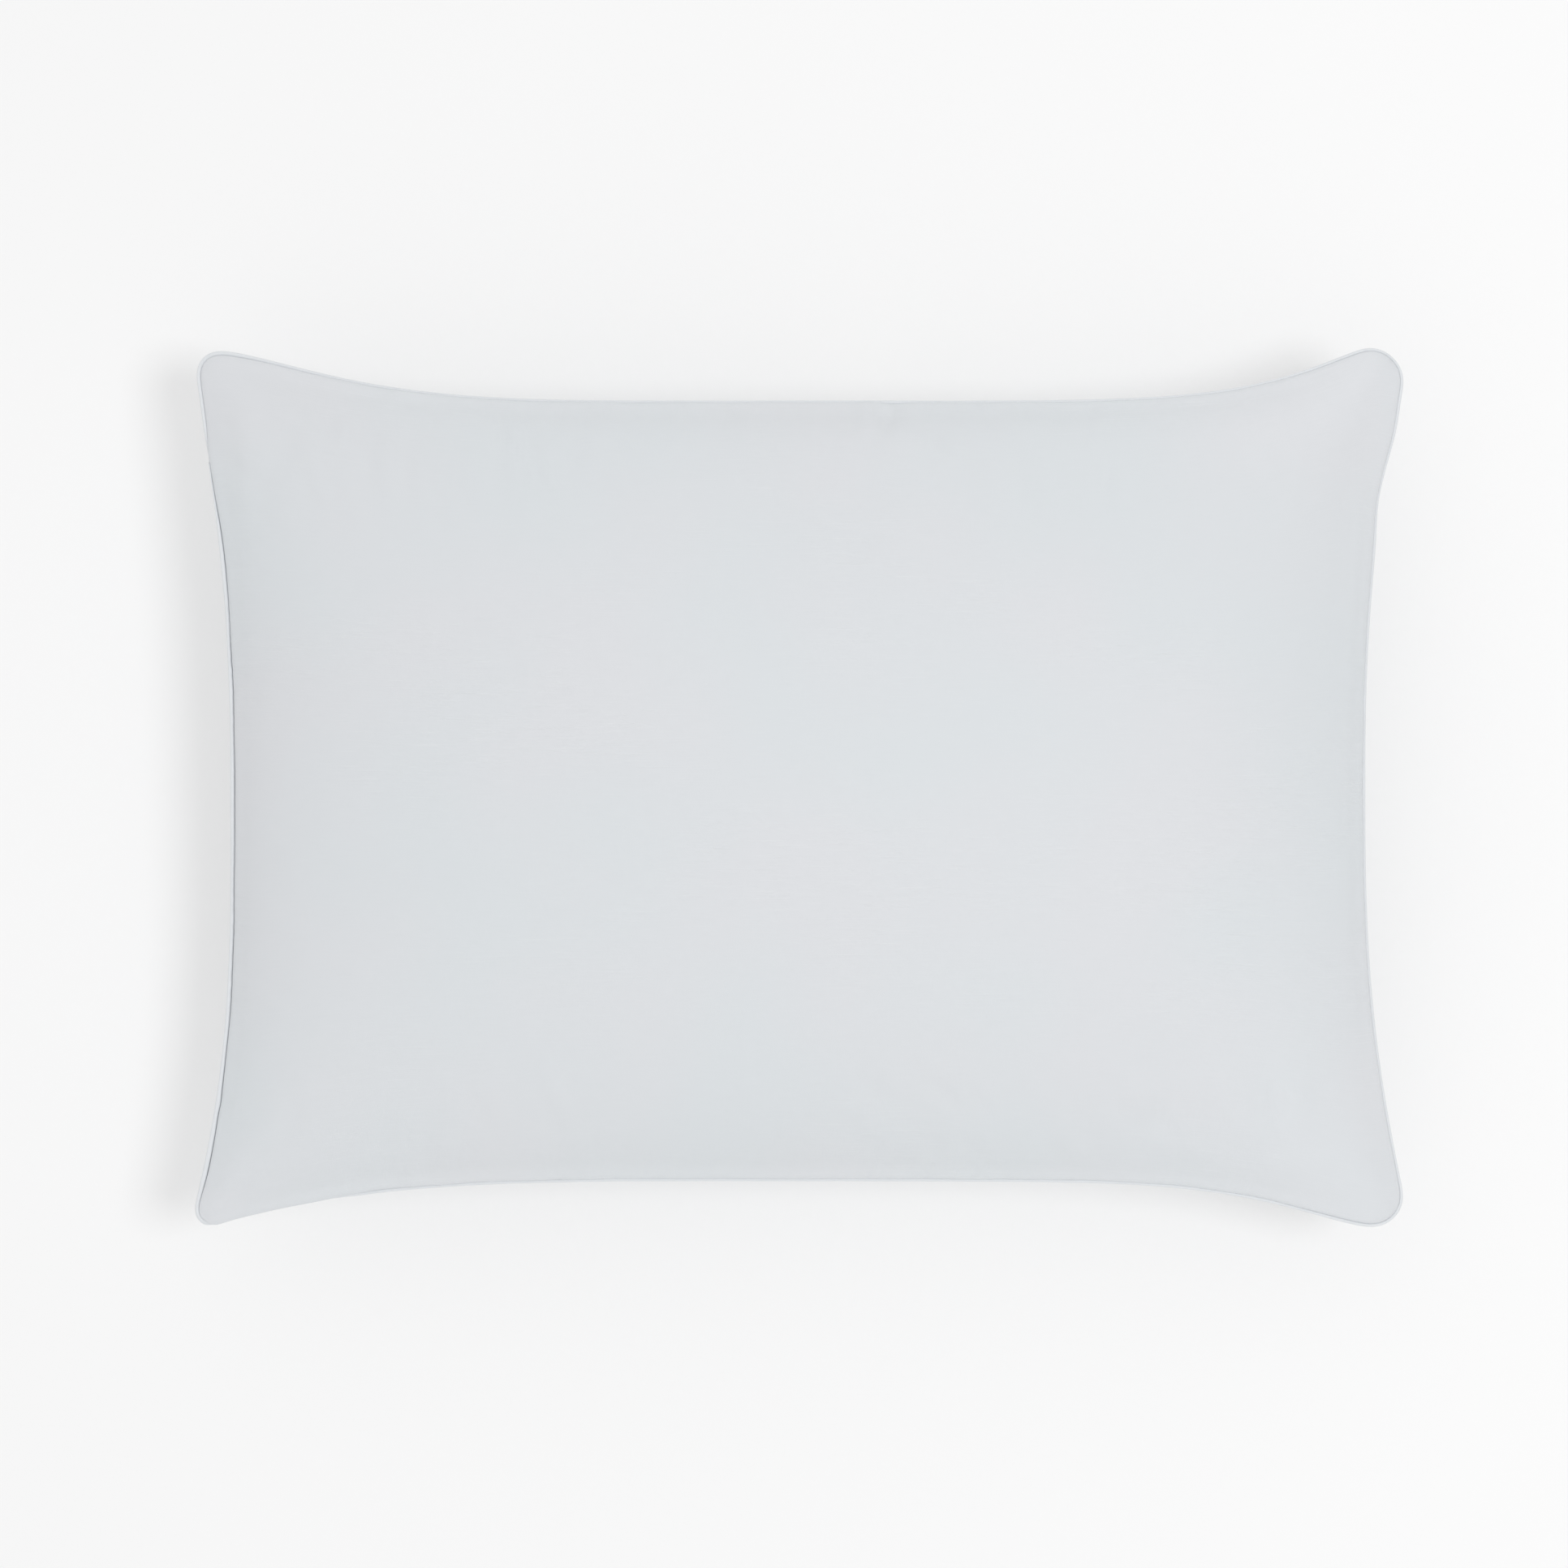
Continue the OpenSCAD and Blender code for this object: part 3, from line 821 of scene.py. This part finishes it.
def closing_stitches(edge, material):
    """Short slanting stitches that close the filled side, from the panel's fold to the piping."""
    start, stop = edge.at("left", CLOSING[0]), edge.at("left", CLOSING[1])
    chance = np.random.default_rng(31)
    points, faces = [], []
    length, around = 7, 6
    for step in range(start, stop, 4):
        here = edge.seam[step % SEAM_STEPS]
        out = edge.out[step % SEAM_STEPS]
        ahead = np.array([-out[1], out[0]])
        base = SEAM_HEIGHT + edge.lift[step % SEAM_STEPS]
        slant = chance.normal(0, 0.1)
        line = []
        for share in np.linspace(-1, 1, length):
            plan = here + ahead * share * 0.0011 + out * (0.00005 + 0.00018 * share + 0.00005 * slant)
            line.append([*plan, base + 0.0003 - 0.0002 * share**4])
        piece = np.array(line)
        first = sum(len(part) for part in points)
        swell = 0.00011 * (1.15 - 0.5 * np.abs(np.linspace(-1, 1, length)) ** 3)
        turn = np.linspace(0, 2 * math.pi, around, endpoint=False)
        side = np.array([*out, 0.0])
        up = np.array([0, 0, 1.0])
        ring = np.cos(turn)[None, :, None] * side + np.sin(turn)[None, :, None] * up
        points.append((piece[:, None] + swell[:, None, None] * ring).reshape(-1, 3))
        faces += [tuple(face) for face in band_faces(around, length, first, closed=False)]
        last = first + (length - 1) * around
        faces.append(tuple(range(first, first + around))[::-1])
        faces.append(tuple(range(last, last + around)))
    cloud = np.vstack(points)
    return make_object("closing_stitches", cloud, faces, material, cloud.copy())


def label(edge, material):
    """A blank care label at the back seam, hanging down behind the pillow."""
    low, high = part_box("care_label")
    centre, width = (low.x + high.x) / 2, high.x - low.x
    start = edge.at("back", centre)
    root = edge.seam[start]
    out = edge.out[start]
    across = np.array([-out[1], out[0]])
    hang = high.z - low.z
    columns, rows = 16, 22
    points, place = [], []
    for i in range(columns + 1):
        for j in range(rows + 1):
            side = (i / columns - 0.5) * width
            down = j / rows
            bow = -0.004 + 0.0065 * math.sin(math.pi * min(1, down * 1.1)) * (1 - 0.3 * down)
            curl = 0.0008 * math.cos(math.pi * side / width) * down
            plan = root + across * side + out * (bow - 0.003 * down + curl)
            points.append([*plan, SEAM_HEIGHT + edge.lift[start] - 0.0016 - down * (hang - 0.004)])
            place.append([side, down * hang, 0])
    numbers = np.arange((columns + 1) * (rows + 1)).reshape(columns + 1, rows + 1)
    made = make_object("label", np.array(points), quads(numbers), material, np.array(place))
    thick = made.modifiers.new("thick", "SOLIDIFY")
    thick.thickness = LABEL_THICKNESS
    return made, width, hang


# ---------------------------------------------------------------- materials


def maths_node(tree, operation, first, second):
    """Arithmetic on two values, each a number or another node's output."""
    node = tree.nodes.new("ShaderNodeMath")
    node.operation = operation
    for socket, value in zip(node.inputs, (first, second)):
        if isinstance(value, (int, float)):
            socket.default_value = value
        else:
            tree.links.new(value, socket)
    return node.outputs["Value"]


class Nodes:
    """A short way to write a node material."""

    def __init__(self, name, **shader):
        self.material = bpy.data.materials.new(name)
        self.material.use_nodes = True
        self.tree = self.material.node_tree
        self.shader = self.tree.nodes["Principled BSDF"]
        for socket, value in shader.items():
            self.shader.inputs[socket.replace("_", " ")].default_value = value

    def add(self, kind, **settings):
        node = self.tree.nodes.new(kind)
        for key, value in settings.items():
            if hasattr(node, key):
                setattr(node, key, value)
            else:
                node.inputs[key.replace("_", " ")].default_value = value
        return node

    def link(self, source, target):
        self.tree.links.new(source, target)

    def cloth_place(self, scale):
        """The place on the flat cloth, stretched by that many repeats a metre each way."""
        place = self.add("ShaderNodeAttribute", attribute_name="cloth")
        stretch = self.add("ShaderNodeVectorMath", operation="MULTIPLY")
        stretch.inputs[1].default_value = scale
        self.link(place.outputs["Vector"], stretch.inputs[0])
        return stretch.outputs["Vector"]

    def noise(self, place, scale, detail=2.0):
        node = self.add("ShaderNodeTexNoise", Scale=scale, Detail=detail)
        self.link(place, node.inputs["Vector"])
        return node.outputs["Fac"]

    def span(self, value, low, high, to_low=0.0, to_high=1.0):
        node = self.add("ShaderNodeMapRange", From_Min=low, From_Max=high)
        node.inputs["To Min"].default_value = to_low
        node.inputs["To Max"].default_value = to_high
        self.link(value, node.inputs["Value"])
        return node.outputs["Result"]

    def maths(self, operation, first, second):
        return maths_node(self.tree, operation, first, second)

    def mix(self, share, first, second):
        node = self.add("ShaderNodeMix", data_type="RGBA")
        self.link(share, node.inputs["Factor"])
        for socket, value in (("A", first), ("B", second)):
            target = next(s for s in node.inputs if s.name == socket and s.type == "RGBA")
            if isinstance(value, tuple):
                target.default_value = value
            else:
                self.link(value, target)
        return next(s for s in node.outputs if s.type == "RGBA")

    def bump(self, height, distance, strength=1.0, after=None):
        node = self.add("ShaderNodeBump", Strength=strength, Distance=distance)
        self.link(height, node.inputs["Height"])
        if after is not None:
            self.link(after, node.inputs["Normal"])
        return node.outputs["Normal"]

    def finish(self, colour, roughness, normal):
        self.link(colour, self.shader.inputs["Base Color"])
        self.link(roughness, self.shader.inputs["Roughness"])
        self.link(normal, self.shader.inputs["Normal"])
        return self.material


def floats(nodes, turned=0.0):
    """Sateen: each thread lies over four, so the face shows short flat floats."""
    place = nodes.cloth_place((1.0, 1.0, 1.0))
    if turned:
        spin = nodes.add("ShaderNodeVectorRotate", rotation_type="Z_AXIS", Angle=turned)
        nodes.link(place, spin.inputs["Vector"])
        place = spin.outputs["Vector"]
    brick = nodes.add("ShaderNodeTexBrick", offset=0.4, offset_frequency=2, squash=1.0, Scale=1000.0)
    sizes = {"Mortar Size": 0.03, "Mortar Smooth": 1.0, "Brick Width": 0.9, "Row Height": 0.21}
    for socket, number in sizes.items():
        brick.inputs[socket].default_value = number
    nodes.link(place, brick.inputs["Vector"])
    return nodes.span(brick.outputs["Fac"], 0, 1, 1, 0)


def ticking_material():
    """Close cotton sateen, cool white, with the faint uneven threads of its weft."""
    nodes = Nodes("cotton_sateen", Sheen_Weight=0.02, Sheen_Roughness=0.45, Specular_IOR_Level=0.40)
    wide = nodes.cloth_place((1.0, 1.0, 1.0))
    patchy = nodes.span(nodes.noise(wide, 7.0, 1.0), 0.35, 0.65)
    tint = nodes.mix(patchy, (0.697, 0.729, 0.751, 1), (0.713, 0.726, 0.750, 1))
    slub = nodes.noise(nodes.cloth_place((24.0, 1300.0, 1.0)), 1.0, 2.0)
    where = nodes.span(nodes.noise(nodes.cloth_place((5.0, 9.0, 1.0)), 1.0, 1.0), 0.42, 0.62)
    thread = nodes.maths("MULTIPLY", nodes.span(slub, 0.56, 0.72), where)
    tint = nodes.mix(nodes.maths("MULTIPLY", thread, 0.3), tint, (0.775, 0.79, 0.81, 1))
    weft = nodes.noise(nodes.cloth_place((60.0, 1500.0, 1.0)), 1.0, 3.0)
    tint = nodes.mix(nodes.span(weft, 0.3, 0.7, 0.0, 0.2), tint, (0.66, 0.685, 0.71, 1))
    weave = floats(nodes)
    uneven = nodes.noise(wide, 60.0, 3.0)
    rough = nodes.span(nodes.maths("ADD", nodes.maths("MULTIPLY", uneven, 0.5), thread), 0, 1.5, 0.58, 0.44)
    normal = nodes.bump(weave, 0.00003)
    normal = nodes.bump(weft, 0.00004, 0.6, normal)
    normal = nodes.bump(thread, 0.00006, 0.8, normal)
    normal = nodes.bump(uneven, 0.0006, 0.25, normal)
    return nodes.finish(tint, rough, normal)


def piping_material():
    """The same cotton cut on the bias, drawn tight, and tinted a little lighter than the panel: a painted
    highlight on the bead.
    """
    nodes = Nodes("cotton_bias", Sheen_Weight=0.08, Sheen_Roughness=0.4, Specular_IOR_Level=0.35)
    place = nodes.cloth_place((1.0, 1.0, 1.0))
    tone = nodes.noise(place, 90.0, 3.0)
    # painted highlight: both tints are a little lighter than the panel's cotton, and a random tone mixes
    # them
    tint = nodes.mix(tone, (0.712, 0.740, 0.764, 1), (0.745, 0.762, 0.782, 1))
    weave = floats(nodes, math.radians(45))
    twist = nodes.noise(nodes.cloth_place((320.0, 700.0, 1.0)), 1.0, 1.0)
    normal = nodes.bump(weave, 0.00003)
    normal = nodes.bump(twist, 0.00015, 0.5, normal)
    return nodes.finish(tint, nodes.span(tone, 0, 1, 0.5, 0.62), normal)


def thread_material(name, colour, pitch):
    """Plied thread: a twist that runs round it."""
    nodes = Nodes(name, Sheen_Weight=0.1, Specular_IOR_Level=0.4)
    ply = nodes.add("ShaderNodeTexWave", wave_type="BANDS", bands_direction="DIAGONAL")
    ply.inputs["Scale"].default_value = 1.0 / pitch / 6.28
    nodes.link(nodes.cloth_place((1.0, 1.0, 1.0)), ply.inputs["Vector"])
    tone = nodes.noise(nodes.cloth_place((400.0, 400.0, 1.0)), 1.0, 2.0)
    tint = nodes.mix(tone, colour, tuple(0.88 * c for c in colour[:3]) + (1,))
    normal = nodes.bump(ply.outputs["Fac"], 0.00006)
    return nodes.finish(tint, nodes.span(tone, 0, 1, 0.45, 0.65), normal)


def stuffing_material():
    """Carded white fibre."""
    nodes = Nodes("fibre", Sheen_Weight=0.4, Specular_IOR_Level=0.2)
    hair = nodes.noise(nodes.cloth_place((120.0, 520.0, 300.0)), 1.0, 6.0)
    tint = nodes.mix(hair, (0.80, 0.81, 0.80, 1), (0.90, 0.90, 0.89, 1))
    normal = nodes.bump(hair, 0.0015, 0.8)
    return nodes.finish(tint, nodes.span(hair, 0, 1, 0.8, 1.0), normal)


def label_material():
    """Woven satin tape with nothing on it."""
    nodes = Nodes("satin_tape", Sheen_Weight=0.1, Specular_IOR_Level=0.5)
    rib = nodes.add("ShaderNodeTexWave", wave_type="BANDS", bands_direction="Y", Scale=450.0)
    nodes.link(nodes.cloth_place((1.0, 1.0, 1.0)), rib.inputs["Vector"])
    tone = nodes.noise(nodes.cloth_place((300.0, 40.0, 1.0)), 1.0, 2.0)
    tint = nodes.mix(tone, (0.83, 0.835, 0.84, 1), (0.89, 0.89, 0.89, 1))
    normal = nodes.bump(rib.outputs["Fac"], 0.00004)
    return nodes.finish(tint, nodes.span(tone, 0, 1, 0.3, 0.45), normal)


def table_material():
    """Matt and near white, with a faint glow of its own that keeps its shadows light."""
    glow = {"Emission_Color": (1, 1, 1, 1), "Emission_Strength": 0.30}
    nodes = Nodes("pale_table", Specular_IOR_Level=0.1, **glow)
    place = nodes.add("ShaderNodeTexCoord").outputs["Object"]
    tone = nodes.noise(place, 3.0, 2.0)
    tint = nodes.mix(tone, (0.597, 0.597, 0.597, 1), (0.603, 0.603, 0.603, 1))
    grain = nodes.noise(place, 900.0, 2.0)
    return nodes.finish(tint, nodes.span(grain, 0, 1, 0.85, 0.95), nodes.bump(grain, 0.00005, 0.3))


# ---------------------------------------------------------------- light, table and camera


def table():
    corners = TABLE_HALF * np.array([[-1, -1, 0], [1, -1, 0], [1, 1, 0], [-1, 1, 0]])
    made = make_object("table", corners - [0, 0, TABLE_BELOW], [(0, 1, 2, 3)], table_material())


def lights():
    """The room: even white light, stronger from above, from both long sides and from the left."""
    world = bpy.data.worlds.new("room")
    world.use_nodes = True
    tree = world.node_tree
    towards = tree.nodes.new("ShaderNodeSeparateXYZ")
    tree.links.new(tree.nodes.new("ShaderNodeTexCoord").outputs["Generated"], towards.inputs[0])

    def maths(operation, first, second):
        return maths_node(tree, operation, first, second)

    left = maths("MULTIPLY", maths("MINIMUM", towards.outputs["X"], 0.0), -ROOM_LEFT)
    right = maths("MULTIPLY", maths("MAXIMUM", towards.outputs["X"], 0.0), ROOM_RIGHT)
    overhead = maths("MULTIPLY", towards.outputs["Z"], ROOM_OVERHEAD)
    squared = maths("MULTIPLY", towards.outputs["Y"], towards.outputs["Y"])
    front_and_back = maths("MULTIPLY", squared, ROOM_FRONT_AND_BACK)
    total = maths("ADD", maths("ADD", left, overhead), maths("ADD", front_and_back, ROOM_ALL_ROUND))
    total = maths("ADD", total, right)
    background = tree.nodes["Background"]
    background.inputs["Color"].default_value = (1, 1, 1, 1)
    tree.links.new(maths("MAXIMUM", total, DARKEST), background.inputs["Strength"])
    bpy.context.scene.world = world
    bpy.context.scene.view_settings.view_transform = "Standard"


def window():
    """The one bright light, turned to the middle of the pillow."""
    light = bpy.data.lights.new("window", "AREA")
    light.shape = "DISK"
    light.size = WINDOW_ACROSS
    light.energy = WINDOW_POWER
    made = bpy.data.objects.new("window", light)
    made.location = (WINDOW_AWAY * math.sin(WINDOW_TILT), 0, WINDOW_AWAY * math.cos(WINDOW_TILT))
    made.rotation_euler = (0, WINDOW_TILT, 0)
    bpy.context.scene.collection.objects.link(made)


def camera():
    """Straight down, with the pillow filling four fifths of the picture's width."""
    view = bpy.data.cameras.new("camera")
    view.lens = LENS
    view.sensor_width = SENSOR_WIDTH
    made = bpy.data.objects.new("camera", view)
    high = SEAM_HEIGHT + PICTURE_WIDTH * LENS / SENSOR_WIDTH
    made.location = (*PICTURE_MIDDLE, high)
    bpy.context.scene.collection.objects.link(made)
    bpy.context.scene.camera = made


# ---------------------------------------------------------------- the pillow


def build():
    edge = Edge()
    (upper, lower), coarse, cut = finished_grids(edge)
    cotton = ticking_material()
    bias = piping_material()
    sewing = thread_material("sewing_thread", (0.80, 0.82, 0.84, 1), 0.0006)
    # painted shade: the closing thread is coloured a darker grey-blue than the white sewing thread, for its
    # shade down in the slit
    hand = thread_material("closing_thread_painted_shade", (0.55, 0.58, 0.62, 1), 0.0006)
    twine = thread_material("cotton_cord", (0.84, 0.83, 0.80, 1), 0.0022)
    top = panel("ticking_top", upper, cut, 1, cotton)
    base = panel("ticking_base", lower, cut, -1, cotton)
    stuffing = filling(coarse, stuffing_material())
    strip = piping(edge, bias)
    core = piping_filler(edge, twine)
    threads = seam_stitches(edge, sewing)
    wrap = overlock(edge, sewing)
    closing = closing_stitches(edge, hand)
    tag, tag_width, tag_length = label(edge, label_material())

    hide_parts("top_panel")
    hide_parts("bottom_panel")
    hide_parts("fill")
    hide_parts("piping_cover")
    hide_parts("piping_cord")
    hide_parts("seam_thread")
    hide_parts("overlock_thread")
    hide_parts("closing_stitch")
    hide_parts("care_label")
    slots = {"ticking": [top, base], "piping": [strip], "fill": [stuffing], "cord": [core]}
    slots["thread"] = [*threads, wrap, closing]
    slots["label"] = [tag]
    for name, pieces in slots.items():
        for piece in pieces:
            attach(piece, "root")


build()
table()
lights()
window()
camera()
